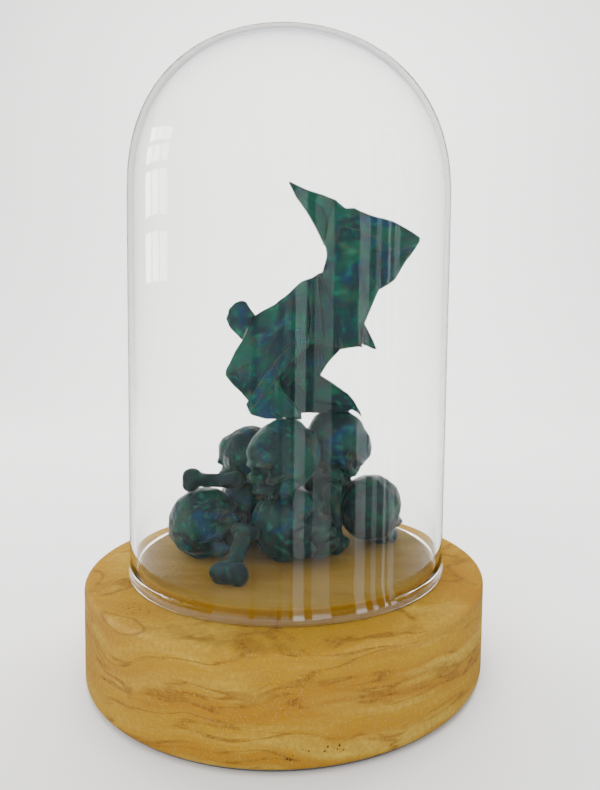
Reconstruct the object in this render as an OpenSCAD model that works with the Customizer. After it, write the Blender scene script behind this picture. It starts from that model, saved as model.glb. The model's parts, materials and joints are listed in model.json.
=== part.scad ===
// Domed display plinth: a turned sandstone plinth, a glass dome that stands on its ledge,
// and a bronze group of a folded rabbit on a pile of skulls and bones, held from below.
// Frame: +X right, +Y away from the viewer, +Z up, origin under the middle of the felt.

/* [Stone plinth] */
// Diameter of the round stone plinth
base_d = 270; // [240:1:340]
// Height of the ledge that the dome stands on, felt included
base_h = 63; // [50:1:90]
// Height of the raised round table above the ledge
platform_h = 8; // [4:0.5:14]
// Rounding of the plinth's outer edges
edge_r = 3.5; // [1:0.5:8]
// Thickness of the felt disc under the stone
felt_t = 2; // [1:0.5:4]
// How far the felt stops short of the plinth's edge
felt_inset = 4; // [2:1:12]

/* [Glass dome] */
// Outside diameter of the dome's straight wall
dome_d = 215; // [212:1:240]
// Height of the dome from its rim to its crown
dome_h = 350; // [320:1:440]
// Thickness of the glass
glass_t = 4; // [2.5:0.5:6]
// Gap between the raised table and the inside of the glass
dome_gap = 2.5; // [1:0.5:8]
// Height of the rounded shoulder above the straight wall
shoulder_h = 105; // [90:1:130]
// Squareness of the shoulder: 2 is a plain ellipse, more is fuller
shoulder_power = 2.35; // [2:0.05:3]
// Height of the fire-polished rim bead
rim_h = 6; // [3:0.5:12]
// How much the rim bead stands out from the wall
rim_bulge = 0.8; // [0:0.1:2]

/* [Bronze group] */
// Radius of a skull's braincase
cranium_r = 22.5; // [18:0.5:28]
// Radius of the rounded forehead in front of the braincase
forehead_r = 19; // [14:0.5:21]
// Diameter of a skull's face and upper jaw
face_d = 25; // [16:0.5:30]
// Length of the face and upper jaw
face_h = 25; // [18:1:30]
// Diameter of an eye socket
socket_d = 12; // [8:0.5:15]
// Diameter of a bone's shaft
bone_d = 11; // [6:0.5:14]
// Diameter of the knuckles at a bone's ends
knuckle_d = 13; // [9:0.5:18]
// Height of the rabbit from its near foot to the tip of its ears
rabbit_h = 160; // [120:1:190]
// Half the width across the rabbit's haunches
haunch_w = 14; // [10:0.5:20]
// Thickness of the rabbit's folded bronze walls
fold_t = 3; // [2:0.5:5]
// Gap of the brazed seam between one casting and the next
seam = 0.3; // [0.2:0.05:0.5]

/* [Fixings] */
// Diameter of the threaded studs under the skulls
stud_d = 6; // [4:1:8]
// Depth that each stud reaches into its skull
stud_reach = 14; // [8:1:18]
// Extra diameter of a hole over the stud or pin in it
hole_clear = 0.6; // [0.3:0.1:1.5]
// Diameter of the counterbore under the stone
counterbore_d = 24; // [20:1:32]
// Depth of the counterbore above the felt
counterbore_h = 16; // [12:1:24]
// Thickness of a washer
washer_t = 1.6; // [1:0.2:3]
// Diameter of the pins in the rabbit's feet
pin_d = 2.4; // [1.5:0.1:3]
// Length of a pin on each side of its seam
pin_reach = 5; // [3:0.5:6]

/* [Hidden] */

bronze = [0.06, 0.30, 0.27];
dark_bronze = [0.04, 0.20, 0.20];
sandstone = [0.78, 0.62, 0.33];
steel = [0.62, 0.63, 0.65];

// ---- Stone plinth and felt ----
platform_top = base_h + platform_h;
platform_d = dome_d - 2 * (glass_t + dome_gap);
platform_edge_r = min(1.5, platform_h / 3);

// Points of a quarter round about a centre, from one angle to another
function arc(centre, r, from, to, steps = 8) =
  [for (i = [0:steps]) let (a = from + (to - from) * i / steps)
    centre + r * [cos(a), sin(a)]];

module stone_profile() {
  outer = base_d / 2;
  table = platform_d / 2;
  polygon(concat(
    [[0, felt_t]],
    arc([outer - edge_r, felt_t + edge_r], edge_r, -90, 0),
    arc([outer - edge_r, base_h - edge_r], edge_r, 0, 90),
    [[table, base_h]],
    arc([table - platform_edge_r, platform_top - platform_edge_r], platform_edge_r, 0, 90),
    [[0, platform_top]]
  ));
}

module stone_base() {
  color(sandstone) difference() {
    rotate_extrude($fn = 128) stone_profile();
    for (spot = STUD_SPOTS) translate([spot.x, spot.y, 0]) {
      cylinder(d = stud_d + hole_clear, h = platform_top + 1, $fn = 48);
      cylinder(d = counterbore_d, h = felt_t + counterbore_h, $fn = 64);
    }
  }
}

module base_felt() {
  color([0.12, 0.13, 0.12]) cylinder(d = base_d - 2 * felt_inset, h = felt_t, $fn = 128);
}

// ---- Glass dome ----
crown_z = base_h + dome_h;
shoulder_z = crown_z - shoulder_h;

// Points of a shoulder of radius r and height h, from the straight wall up to the axis
function shoulder(r, h, z, steps = 30) =
  [for (i = [0:steps]) let (a = 90 * i / steps)
    [r * pow(cos(a), 2 / shoulder_power), z + h * pow(sin(a), 2 / shoulder_power)]];

function reversed(list) = [for (i = [len(list) - 1:-1:0]) list[i]];

module glass_profile() {
  outer = dome_d / 2;
  inner = outer - glass_t;
  bead = rim_h / 2;
  polygon(concat(
    [[inner, base_h], [outer - 0.6, base_h], [outer + rim_bulge * 0.7, base_h + bead * 0.35],
     [outer + rim_bulge, base_h + bead], [outer + rim_bulge * 0.6, base_h + 1.5 * bead],
     [outer, base_h + rim_h]],
    shoulder(outer, shoulder_h, shoulder_z),
    reversed(shoulder(inner, shoulder_h - glass_t, shoulder_z))
  ));
}

module glass_dome() {
  color([0.85, 0.93, 0.92, 0.25]) rotate_extrude($fn = 128) glass_profile();
}

// ---- Pile of skulls ----
// A skull's own frame: +X is the way it faces, +Z the top of its head.
forehead_at = [8, 0, 1];
brow_at = [13, 0, -4];
jaw_at = [12, 0, -2 - face_h];
socket_at = [25, 7.5, -4];
nose_at = [26, 0, -12];
nose_d = 7;

// Each skull is [middle of its braincase above the table, turn about X, Y and Z, size].
// The top skulls sit where the rabbit's feet come down.
far_foot = [35.5, 25, 5.5];
pile = cranium_r / 22.5;
LOW_LEFT = [[-57, -16, 23] * pile, [0, -30, -30], 1.03];
LOW_CENTRE = [[1, -20, 23.7] * pile, [0, -38, -28], 1.07];
LOW_RIGHT = [[59, 10, 28] * pile, [0, 0, 60], 1.05];
BACK_LEFT = [[-31, 16, 27] * pile, [0, 10, 130], 1.05];
BACK_RIGHT = [[18, 48, 22.5] * pile, [0, -20, 80], 1.02];
MIDDLE = [[26, 13, 38] * pile, [0, -60, 75], 0.9];
TOP_FRONT = [[-2, -22, 71.5] * pile, [10, 12, -150], 1.03];
TOP_RIGHT = [TOP_FRONT[0] + far_foot, [0, 35, 10], 0.98];
TOP_LEFT = [[-30, 4, 67] * pile, [0, 10, 140], 0.88];

// Where each stud comes up: under the two braincases, and under the right skull's jaw
STUD_LEFT = [LOW_LEFT[0].x, LOW_LEFT[0].y];
STUD_CENTRE = [LOW_CENTRE[0].x, LOW_CENTRE[0].y];
STUD_RIGHT = [LOW_RIGHT[0].x, LOW_RIGHT[0].y]
  + jaw_at.x * LOW_RIGHT[2] * [cos(LOW_RIGHT[1].z), sin(LOW_RIGHT[1].z)];
STUD_SPOTS = [STUD_LEFT, STUD_CENTRE, STUD_RIGHT];

module above_table() {
  translate([0, 0, platform_top]) children();
}

module below_table() {
  translate([-200, -200, -100]) cube([400, 400, 100]);
}

// Braincase and forehead in one rounded form, and the face that narrows to the jaw
module skull_form() {
  hull() {
    sphere(r = cranium_r, $fn = 28);
    translate(forehead_at) sphere(r = forehead_r, $fn = 28);
  }
  hull() {
    translate(brow_at) cylinder(d = face_d * 1.15, h = 2, $fn = 24);
    translate(jaw_at) cylinder(d = face_d * 0.85, h = 2, $fn = 24);
  }
}

module skull_hollows() {
  for (side = [-1, 1])
    translate([socket_at.x, side * socket_at.y, socket_at.z]) sphere(d = socket_d, $fn = 32);
  translate(nose_at) sphere(d = nose_d, $fn = 32);
}

// Turns its child's +Z to point from one place to another
module facing(from, to) {
  way = to - from;
  translate(from)
    rotate([0, acos(way.z / norm(way)), atan2(way.y, way.x)]) children();
}

// The room kept for a neighbour: beyond the flat seat where the two braincases meet
module room_for(other, skull) {
  share = skull[2] / (skull[2] + other[2]);
  reach = norm(other[0] - skull[0]) * share;
  facing(skull[0], other[0]) translate([-70, -70, reach - seam / 2]) cube([140, 140, 80]);
}

// A skull with a flat foot on the table and flat seats against its neighbours
module skull(spot, neighbours) {
  color(bronze) above_table() difference() {
    translate(spot[0]) rotate(spot[1]) scale(spot[2]) difference() {
      skull_form();
      skull_hollows();
    }
    below_table();
    for (other = neighbours) room_for(other, spot);
    children();
  }
}

module stud_hole(at) {
  translate([at.x, at.y, -1]) cylinder(d = stud_d + hole_clear, h = stud_reach + 2, $fn = 48);
}

module foot_hole(at) {
  translate(at - [0, 0, pin_reach + 0.5]) cylinder(d = pin_d + hole_clear / 2, h = 20, $fn = 32);
}

module skull_low_left() { skull(LOW_LEFT, [LOW_CENTRE, BACK_LEFT]) stud_hole(STUD_LEFT); }
module skull_low_centre() {
  skull(LOW_CENTRE, [LOW_LEFT, BACK_LEFT, MIDDLE, TOP_FRONT]) stud_hole(STUD_CENTRE);
}
module skull_low_right() { skull(LOW_RIGHT, [MIDDLE, BACK_RIGHT]) stud_hole(STUD_RIGHT); }
module skull_back_left() { skull(BACK_LEFT, [LOW_LEFT, LOW_CENTRE, TOP_LEFT, BACK_RIGHT]); }
module skull_back_right() { skull(BACK_RIGHT, [LOW_RIGHT, MIDDLE, BACK_LEFT]); }
module skull_middle() {
  skull(MIDDLE, [LOW_CENTRE, LOW_RIGHT, BACK_RIGHT, TOP_RIGHT, BACK_LEFT]);
}
module skull_top_front() {
  skull(TOP_FRONT, [LOW_CENTRE, TOP_LEFT, TOP_RIGHT]) foot_hole(NEAR_PIN);
}
module skull_top_right() { skull(TOP_RIGHT, [MIDDLE, TOP_FRONT]) foot_hole(FAR_PIN); }
module skull_top_left() { skull(TOP_LEFT, [BACK_LEFT, TOP_FRONT]); }

// ---- Bones ----
// The pair of knuckles at one end of a bone
module knuckles() {
  hull() for (side = [-1, 1])
    translate([0, side * knuckle_d * 0.3, 0]) sphere(d = knuckle_d, $fn = 20);
}

module bone(from, to) {
  reach = norm(to - from);
  color(dark_bronze) above_table() difference() {
    facing(from, to) {
      cylinder(d = bone_d, h = reach, $fn = 12);
      knuckles();
      translate([0, 0, reach]) knuckles();
    }
    below_table();
  }
}

module bone_left() { bone([-66, -21.5, 53.2] * pile, [-36, -22, 53.2] * pile); }
module bone_front() { bone([-31, -68, 6] * pile, [-26, -46, 18] * pile); }
module bone_right() { bone([35, -12, 6] * pile, [30, -15.5, 47.5] * pile); }

// ---- Folded rabbit ----
// Drawn 160 high in its own frame, with its near foot at [0, 0] and its fold plane at Y = 0.
rabbit_k = rabbit_h / 160;
near_foot_y = -14;
near_pin_at = [-2, near_foot_y, 0];
RABBIT_AT = TOP_FRONT[0] + [2, -near_foot_y, cranium_r * TOP_FRONT[2] + seam];
NEAR_PIN = RABBIT_AT + near_pin_at;
FAR_PIN = TOP_RIGHT[0] + [0, 0, cranium_r * TOP_RIGHT[2] + seam];

module rabbit() {
  color(bronze) above_table() translate(RABBIT_AT) scale(rabbit_k) children();
}

// A sharp-edged casting spanned over points; each point carries a small cube as its edge
module folded(points, edge = 1) {
  hull() for (p = points) translate(p) cube(edge, center = true);
}

// The same outline on both sides of the fold plane, at half widths given point by point
function both_sides(points) =
  concat([for (p = points) [p.x, -p.y, p.z]], [for (p = points) [p.x, p.y, p.z]]);

module rabbit_body() {
  spine = [[12.3, 1, 94], [8, 1, 92], [-8, 1, 78], [-23, 1, 69]];
  skirt = [[-40, 5, 32], [-42, 7, 29], [-33, haunch_w * 0.7, 19], [-24, haunch_w, 7],
    [8, haunch_w, 46], [12.3, haunch_w * 0.7, 60]];
  rabbit() difference() {
    folded(both_sides(concat(spine, skirt)));
    translate([0, 0, -fold_t * 2.4]) folded(both_sides([for (p = concat(spine, skirt))
      [p.x * 0.86, max(0.5, p.y - fold_t), p.z]]));
  }
}

module rabbit_chest() {
  rabbit() folded(both_sides([[13.6, 9, 95], [21, 9, 102], [60.3, 3, 88.3], [58, 3, 84],
    [53, 3, 74], [49.5, 5, 66], [13.6, 10, 49.5]]));
}

module rabbit_head() {
  rabbit() folded(both_sides([[25.5, 8, 109], [26.5, 9, 117], [31.5, 3, 145], [43, 2, 141],
    [67, 1.5, 133], [78, 1, 128.5], [87, 0.5, 123], [82, 1, 113], [70, 2.5, 95],
    [62, 4, 89.6], [26, 8, 102.2]]));
}

module rabbit_ear(side) {
  rabbit() difference() {
    folded([[-2, side * 2, 158.5], [11, side * 2.5, 152], [30, side * 3, 145.5],
      [25.2, side * 5, 118], [19.5, side * 4, 121.5], [3, side * 3, 148]]);
    translate([-30, side > 0 ? -40 : -0.15, 100]) cube([80, 40.15, 80]);
  }
}
module rabbit_ear_near() { rabbit_ear(-1); }
module rabbit_ear_far() { rabbit_ear(1); }

module rabbit_tail() {
  rabbit() difference() {
    folded([for (p = [[-33, 4, 51], [-41, 4, 61], [-43, 3, 66], [-40, 3, 73], [-36, 3, 77],
      [-30, 3, 78], [-26, 4, 73], [-25, 4, 68]], side = [-1, 1]) [p.x, side * p.y, p.z]]);
    translate([0.3, 0, -0.4]) tail_seat();
  }
}

// The back of the haunches, which the tail is brazed to
module tail_seat() {
  folded(both_sides([[-7, 6, 78.5], [-23, 6, 69.5], [-41, 6, 32.5], [0, 6, 40]]), 1.6);
}

module rabbit_foreleg(side) {
  toe = side < 0 ? [48.5, side * 10, 48.5] : [58, side * 9, 48.5];
  rabbit() folded([[15, side * 9, 48], [15, side * 4, 48], [49.5, side * 6, 63.5],
    [49.5, side * 2.5, 63.5], toe, [36, side * 9, 47.8], [36, side * 3, 47.8]]);
}
module rabbit_foreleg_near() { rabbit_foreleg(-1); }
module rabbit_foreleg_far() { rabbit_foreleg(1); }

module rabbit_hind_leg_near() {
  color(bronze) above_table() difference() {
    translate(RABBIT_AT) scale(rabbit_k) folded([for (p = [[-22.3, 6], [-24, 3.5], [-2, 0.5],
      [9.5, 0.5], [9.3, 5], [-7.8, 24]], y = [-18, -10]) [p.x, y, p[1]]]);
    foot_hole(NEAR_PIN);
  }
}

module rabbit_hind_leg_far() {
  thigh = [[10.3, 46], [34, 46.4], [20.5, 29], [-1.3, 32], [-5.4, 27]];
  shank = [[-5.4, 27], [20.5, 29], [26, 25], [39, 17], [38.5, far_rise], [5, far_rise]];
  toe = [[39, 17], [45, 10], [51, 1], [43, far_rise - 0.5], [38.5, far_rise]];
  color(bronze) above_table() difference() {
    translate(RABBIT_AT) scale(rabbit_k) for (outline = [thigh, shank, toe])
      folded([for (p = outline, y = [far_leg_y - 4, far_leg_y + 4]) [p.x, y, p[1]]]);
    foot_hole(FAR_PIN);
  }
}
far_leg_y = (FAR_PIN.y - RABBIT_AT.y) / rabbit_k;
far_rise = (FAR_PIN.z - RABBIT_AT.z) / rabbit_k + 0.5;

module rabbit_pin(at) {
  color(steel) above_table() translate(at - [0, 0, pin_reach])
    cylinder(d = pin_d, h = 2 * pin_reach, $fn = 32);
}
module rabbit_pin_near() { rabbit_pin(NEAR_PIN); }
module rabbit_pin_far() { rabbit_pin(FAR_PIN); }

// ---- Fixings ----
nut_w = stud_d * 1.7;
nut_h = stud_d * 0.8;
washer_d = stud_d * 2.1;
thread_end = 2;
counterbore_top = felt_t + counterbore_h;
nut_top = counterbore_top - washer_t;

module fixing_stud(at) {
  bottom = nut_top - nut_h - thread_end;
  color(steel) translate([at.x, at.y, bottom])
    cylinder(d = stud_d, h = platform_top + stud_reach - bottom, $fn = 48);
}

module fixing_washer(at) {
  color(steel) translate([at.x, at.y, nut_top]) difference() {
    cylinder(d = washer_d, h = washer_t, $fn = 48);
    translate([0, 0, -1]) cylinder(d = stud_d + hole_clear, h = washer_t + 2, $fn = 48);
  }
}

module fixing_nut(at) {
  color(steel) translate([at.x, at.y, nut_top - nut_h]) difference() {
    cylinder(d = nut_w / cos(30), h = nut_h, $fn = 6);
    translate([0, 0, -1]) cylinder(d = stud_d + hole_clear / 3, h = nut_h + 2, $fn = 48);
  }
}

stone_base();
base_felt();
glass_dome();
fixing_stud(STUD_LEFT);  // fixing_stud_left
fixing_stud(STUD_CENTRE);  // fixing_stud_centre
fixing_stud(STUD_RIGHT);  // fixing_stud_right
fixing_washer(STUD_LEFT);  // fixing_washer_left
fixing_washer(STUD_CENTRE);  // fixing_washer_centre
fixing_washer(STUD_RIGHT);  // fixing_washer_right
fixing_nut(STUD_LEFT);  // fixing_nut_left
fixing_nut(STUD_CENTRE);  // fixing_nut_centre
fixing_nut(STUD_RIGHT);  // fixing_nut_right
skull_low_left();
skull_low_centre();
skull_low_right();
skull_back_left();
skull_back_right();
skull_middle();
skull_top_front();
skull_top_right();
skull_top_left();
bone_left();
bone_front();
bone_right();
rabbit_body();
rabbit_chest();
rabbit_head();
rabbit_ear_near();
rabbit_ear_far();
rabbit_tail();
rabbit_foreleg_near();
rabbit_foreleg_far();
rabbit_hind_leg_near();
rabbit_hind_leg_far();
rabbit_pin_near();
rabbit_pin_far();
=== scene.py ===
# %% [markdown]
# # A domed display plinth
# A turned sandstone plinth carries a raised round table. A mouth-blown glass dome stands on the
# ledge round the table, over a bronze group: a rabbit that looks folded from paper, standing on a
# pile of skulls and bones. Everything is in metres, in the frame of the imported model, with +Z up
# and the origin under the middle of the plinth.

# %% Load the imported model
import json
import math

import bpy
import bmesh
from mathutils import Matrix, Vector, noise

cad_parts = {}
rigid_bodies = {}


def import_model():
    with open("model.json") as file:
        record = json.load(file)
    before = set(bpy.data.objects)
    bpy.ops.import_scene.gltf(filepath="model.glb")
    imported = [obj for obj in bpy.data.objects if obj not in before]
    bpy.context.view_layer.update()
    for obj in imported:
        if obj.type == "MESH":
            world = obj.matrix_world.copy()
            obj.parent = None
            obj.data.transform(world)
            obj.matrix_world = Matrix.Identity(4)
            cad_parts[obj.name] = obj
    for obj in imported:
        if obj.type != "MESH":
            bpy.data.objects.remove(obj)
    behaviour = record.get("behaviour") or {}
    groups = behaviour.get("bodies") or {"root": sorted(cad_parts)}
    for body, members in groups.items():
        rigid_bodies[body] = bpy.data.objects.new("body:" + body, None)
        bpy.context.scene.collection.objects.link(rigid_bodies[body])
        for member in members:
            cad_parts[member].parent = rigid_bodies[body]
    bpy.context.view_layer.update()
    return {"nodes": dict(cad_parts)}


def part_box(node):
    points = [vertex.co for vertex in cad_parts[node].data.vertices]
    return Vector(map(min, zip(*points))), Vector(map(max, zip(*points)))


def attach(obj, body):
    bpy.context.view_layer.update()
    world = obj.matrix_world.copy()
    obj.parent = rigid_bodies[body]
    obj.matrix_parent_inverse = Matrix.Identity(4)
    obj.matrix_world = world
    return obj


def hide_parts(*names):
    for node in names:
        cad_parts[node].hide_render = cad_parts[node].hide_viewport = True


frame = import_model()
MM = 0.001
print("nodes in the frame:", len(frame["nodes"]))

# %% [markdown]
# The CAD pieces say where everything is. The ledge height, the table and the glass sizes are read
# from their boxes once, so that each detailed piece is made to the same sizes.

# %% Sizes from the frame
stone_low, stone_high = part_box("stone_base")
glass_low, glass_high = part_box("glass_dome")
LEDGE_Z = glass_low.z
TABLE_Z = stone_high.z
STONE_R = stone_high.x
DOME_TOP = glass_high.z
FELT_TOP = stone_low.z
print("ledge", round(LEDGE_Z, 4), "table", round(TABLE_Z, 4), "crown", round(DOME_TOP, 4))

# %% [markdown]
# The camera stands a little to the right of the middle and looks slightly down, with the small
# tilt of a camera held by hand.

# %% Camera
CAMERA_AT = (0.0295, -0.4156, 0.209)
CAMERA_PITCH = 0.0666
CAMERA_ROLL = 0.0138
LENS_MM = 27.02
FILM_MM = 36.0
SHIFT_X = -0.0408

camera_data = bpy.data.cameras.new("camera")
camera = bpy.data.objects.new("camera", camera_data)
bpy.context.scene.collection.objects.link(camera)
camera_data.sensor_width = FILM_MM
camera_data.lens = LENS_MM
camera_data.shift_x = SHIFT_X
camera_data.clip_start = 0.01
turn = Matrix.Rotation(math.pi / 2 - CAMERA_PITCH, 4, "X") @ Matrix.Rotation(CAMERA_ROLL, 4, "Z")
camera.matrix_world = Matrix.Translation(CAMERA_AT) @ turn
bpy.context.scene.camera = camera
print("camera at", CAMERA_AT)

# %% [markdown]
# ## Tools on the bench
# Every piece below is made as by hand: one object is picked, shaped with operators and modifiers,
# and its place is put into its mesh. An operator acts on all that is selected, so everything is
# deselected first. These few helpers do that the same way for each piece.

# %% Helpers for modelling by hand


def deselect():
    """Leaves edit mode and selects nothing."""
    if bpy.context.object and bpy.context.object.mode != "OBJECT":
        bpy.ops.object.mode_set(mode="OBJECT")
    bpy.ops.object.select_all(action="DESELECT")


def pick(piece):
    """Makes one object the selected and active one."""
    deselect()
    piece.select_set(True)
    bpy.context.view_layer.objects.active = piece


def settle(piece, name):
    """Names a piece and puts its place, turn and size into its mesh."""
    pick(piece)
    bpy.ops.object.transform_apply(location=True, rotation=True, scale=True)
    piece.name = name
    piece.data.name = name
    return piece


def add_modifier(piece, kind, **values):
    """Adds a modifier, sets it up and applies it."""
    pick(piece)
    bpy.ops.object.modifier_add(type=kind)
    modifier = piece.modifiers[-1]
    for key, value in values.items():
        setattr(modifier, key, value)
    bpy.ops.object.modifier_apply(modifier=modifier.name)


def as_piece(mesh):
    """A new object that holds the mesh that was built."""
    deselect()
    bpy.ops.mesh.primitive_plane_add(size=1)
    piece = bpy.context.object
    mesh.to_mesh(piece.data)
    mesh.free()
    return piece


def edit_all(piece):
    """Opens a piece in edit mode, with all of it selected."""
    pick(piece)
    bpy.ops.object.mode_set(mode="EDIT")
    bpy.ops.mesh.select_all(action="SELECT")


def tidy_normals(piece):
    """Merges doubles and turns every face outwards."""
    edit_all(piece)
    bpy.ops.mesh.remove_doubles(threshold=1e-6)
    bpy.ops.mesh.normals_make_consistent(inside=False)
    bpy.ops.object.mode_set(mode="OBJECT")


def smooth(piece, degrees):
    """Shades a piece smooth, keeping edges sharper than the angle."""
    pick(piece)
    bpy.ops.object.shade_smooth_by_angle(angle=math.radians(degrees))


def dress(piece, material):
    """Gives the piece one material in place of any it has."""
    piece.data.materials.clear()
    piece.data.materials.append(material)


print("helpers ready")

# %% [markdown]
# ## The floor, the backdrop and the light
# A plain pale sheet runs under the plinth and curves up behind it. A curve with no corner has no
# line where the floor ends. Its outline is drawn once from the side, and each stretch of it
# becomes one long face across.

# %% Floor and backdrop
def plain_material(name, colour, roughness):
    """A matt material of one colour."""
    material = bpy.data.materials.new(name)
    material.use_nodes = True
    shader = material.node_tree.nodes["Principled BSDF"]
    shader.inputs["Base Color"].default_value = (*colour, 1)
    shader.inputs["Roughness"].default_value = roughness
    return material


SHEET_HALF = 12
SHEET_DROP = 0.5 * MM
BEND_STEPS = 12


def backdrop():
    """A sheet that lies flat under the plinth and curves up far behind it."""
    front, foot, bend, rise = -4.0, 1.6, 1.4, 4.0
    line = [(front, 0.0), (foot, 0.0)]
    for i in range(1, BEND_STEPS + 1):
        angle = math.pi / 2 * i / BEND_STEPS
        line.append((foot + bend * math.sin(angle), bend - bend * math.cos(angle)))
    line.append((foot + bend, rise))
    mesh = bmesh.new()
    left = [mesh.verts.new((-SHEET_HALF, y, z - SHEET_DROP)) for y, z in line]
    right = [mesh.verts.new((SHEET_HALF, y, z - SHEET_DROP)) for y, z in line]
    for i in range(len(line) - 1):
        mesh.faces.new([left[i], right[i], right[i + 1], left[i + 1]])
    sheet = settle(as_piece(mesh), "backdrop")
    smooth(sheet, 60)
    return sheet


sheet = backdrop()
sheet.data.materials.append(plain_material("pale paper", (0.90, 0.878, 0.85), 0.8))
sheet.visible_glossy = False
print("sheet faces:", len(sheet.data.polygons))

# %% [markdown]
# Glass shows by what it reflects, and a white room would lay a milky veil over the bronze behind
# it. So the sky and the soft lights light the scene but stay out of reflections. The sky is also
# brighter to look at than it is as a light, which keeps the background clean: a Light Path node
# tells the two apart.

# %% Sky
world = bpy.data.worlds.new("studio")
world.use_nodes = True
bpy.context.scene.world = world
sky = world.node_tree.nodes["Background"]
sky.inputs["Color"].default_value = (0.90, 0.93, 0.98, 1)
SKY_LIGHT, SKY_SEEN = 1.1, 1.75
path = world.node_tree.nodes.new("ShaderNodeLightPath")
seen = world.node_tree.nodes.new("ShaderNodeMath")
seen.operation = "MAXIMUM"
world.node_tree.links.new(path.outputs["Is Camera Ray"], seen.inputs[0])
world.node_tree.links.new(path.outputs["Is Transmission Ray"], seen.inputs[1])
strength = world.node_tree.nodes.new("ShaderNodeMapRange")
strength.inputs["To Min"].default_value = SKY_LIGHT
strength.inputs["To Max"].default_value = SKY_SEEN
world.node_tree.links.new(seen.outputs["Value"], strength.inputs["Value"])
world.node_tree.links.new(strength.outputs["Result"], sky.inputs["Strength"])
world.cycles_visibility.glossy = False
print("sky lights", SKY_LIGHT, "and shows", SKY_SEEN)

# %% Soft lights


def soft_light(name, place, target, size, power, colour=(1, 1, 1)):
    """A rectangular soft light that looks from its place at its target."""
    data = bpy.data.lights.new(name, "AREA")
    data.shape = "RECTANGLE"
    data.size, data.size_y = size
    data.energy = power
    data.color = colour
    light = bpy.data.objects.new(name, data)
    bpy.context.scene.collection.objects.link(light)
    light.location = place
    way = Vector(target) - Vector(place)
    light.rotation_euler = way.to_track_quat("-Z", "Y").to_euler()
    return light


def hide(light, *rays):
    """Keeps a light out of the named kinds of ray."""
    for kind in rays:
        setattr(light, "visible_" + kind, False)


SOFT_LIGHTS = [
    ("backdrop wash", (0, 0.9, 2.4), (0, 2.4, 0.4), (3.2, 0.6), 170),
    ("ceiling", (-0.3, -0.2, 2.3), (0, 0, 0.1), (2.4, 2.4), 38),
    ("front fill", (-0.9, -2.0, 1.5), (0, 0, 0.15), (1.6, 1.6), 30),
]
for name, place, target, size, power in SOFT_LIGHTS:
    hide(soft_light(name, place, target, size, power), "glossy", "transmission")
print("soft lights:", len(SOFT_LIGHTS))

# %% [markdown]
# Windows are the opposite of the soft lights: they only show as bright strips in glossy things.
# Tall panes stand in a half ring behind the camera, and one window of small panes is at the left.
# Each tall pane is (angle from straight behind, angular width, shine), in degrees.

# %% Windows
WINDOW_REACH = 1.7
WINDOW_TALL = 2.3
WINDOW_MIDDLE = 0.2
PANES = [
    (-32.5, 24, 5), (-10, 14, 4), (2, 5, 6), (10.3, 7, 30), (24.8, 12, 18), (51.6, 7.5, 30),
    (62, 3.8, 20), (70.2, 2.3, 34), (76.4, 5, 20),
]
for index, (angle, width, shine) in enumerate(PANES):
    way = Vector((math.sin(math.radians(angle)), -math.cos(math.radians(angle)), 0))
    across = 2 * WINDOW_REACH * math.tan(math.radians(width / 2))
    place = way * WINDOW_REACH + Vector((0, 0, WINDOW_MIDDLE))
    glow = shine * math.pi * across * WINDOW_TALL / 4
    size = (across, WINDOW_TALL)
    pane = soft_light(f"window pane {index}", place, (0, 0, place.z), size, glow)
    hide(pane, "diffuse", "transmission")

SIDE_X, SIDE_Y, SIDE_Z = -1.6, -0.12, 0.5
SIDE_STEP_Y, SIDE_STEP_Z = 0.24, 0.2
SIDE_PANE, SIDE_POWER, SIDE_COLOUR = (0.2, 0.15), 4.0, (1, 0.97, 0.9)
for column in range(3):
    for row in range(4):
        y, z = SIDE_Y + SIDE_STEP_Y * column, SIDE_Z + SIDE_STEP_Z * row
        name = f"side window {column} {row}"
        pane = soft_light(name, (SIDE_X, y, z), (0, y, z), SIDE_PANE, SIDE_POWER, SIDE_COLOUR)
        hide(pane, "diffuse", "transmission")

# %% [markdown]
# ## The stone
# The plinth is one block of banded sandstone, turned on a lathe, with the ledge and the raised
# table in one. A stack of cylinders would need its rims bevelled one by one. A turned piece is
# quicker from its profile, which is drawn once and spun round the axis. The beds, the grain and
# the pits are left to the material.

# %% Spin a profile


def spun(name, profile, steps):
    """Spins a profile of (radius, height) points that starts and ends on the axis."""
    mesh = bmesh.new()
    ring = [mesh.verts.new((radius, 0, height)) for radius, height in profile]
    for first, second in zip(ring, ring[1:]):
        mesh.edges.new((first, second))
    piece = as_piece(mesh)
    edit_all(piece)
    bpy.ops.mesh.spin(steps=steps, angle=2 * math.pi, center=(0, 0, 0), axis=(0, 0, 1))
    bpy.ops.object.mode_set(mode="OBJECT")
    tidy_normals(piece)
    return settle(piece, name)


def fine_line(points, step):
    """The same line with a point about every step."""
    fine = [points[0]]
    for start, end in zip(points, points[1:]):
        length = math.dist(start, end)
        count = max(1, round(length / step))
        for i in range(1, count + 1):
            fine.append(tuple(a + (b - a) * i / count for a, b in zip(start, end)))
    return fine


def arc(centre, radius, start, end, steps=6):
    """Points along a quarter round, in degrees."""
    angles = [math.radians(start + (end - start) * i / steps) for i in range(steps + 1)]
    return [(centre[0] + radius * math.cos(a), centre[1] + radius * math.sin(a)) for a in angles]


# %% [markdown]
# Sandstone crumbles at a sharp edge, so both rims of the plinth and the rim of the table are
# quarter rounds. A point every 2.2 mm keeps the faces near square, so that they shade evenly.

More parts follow.
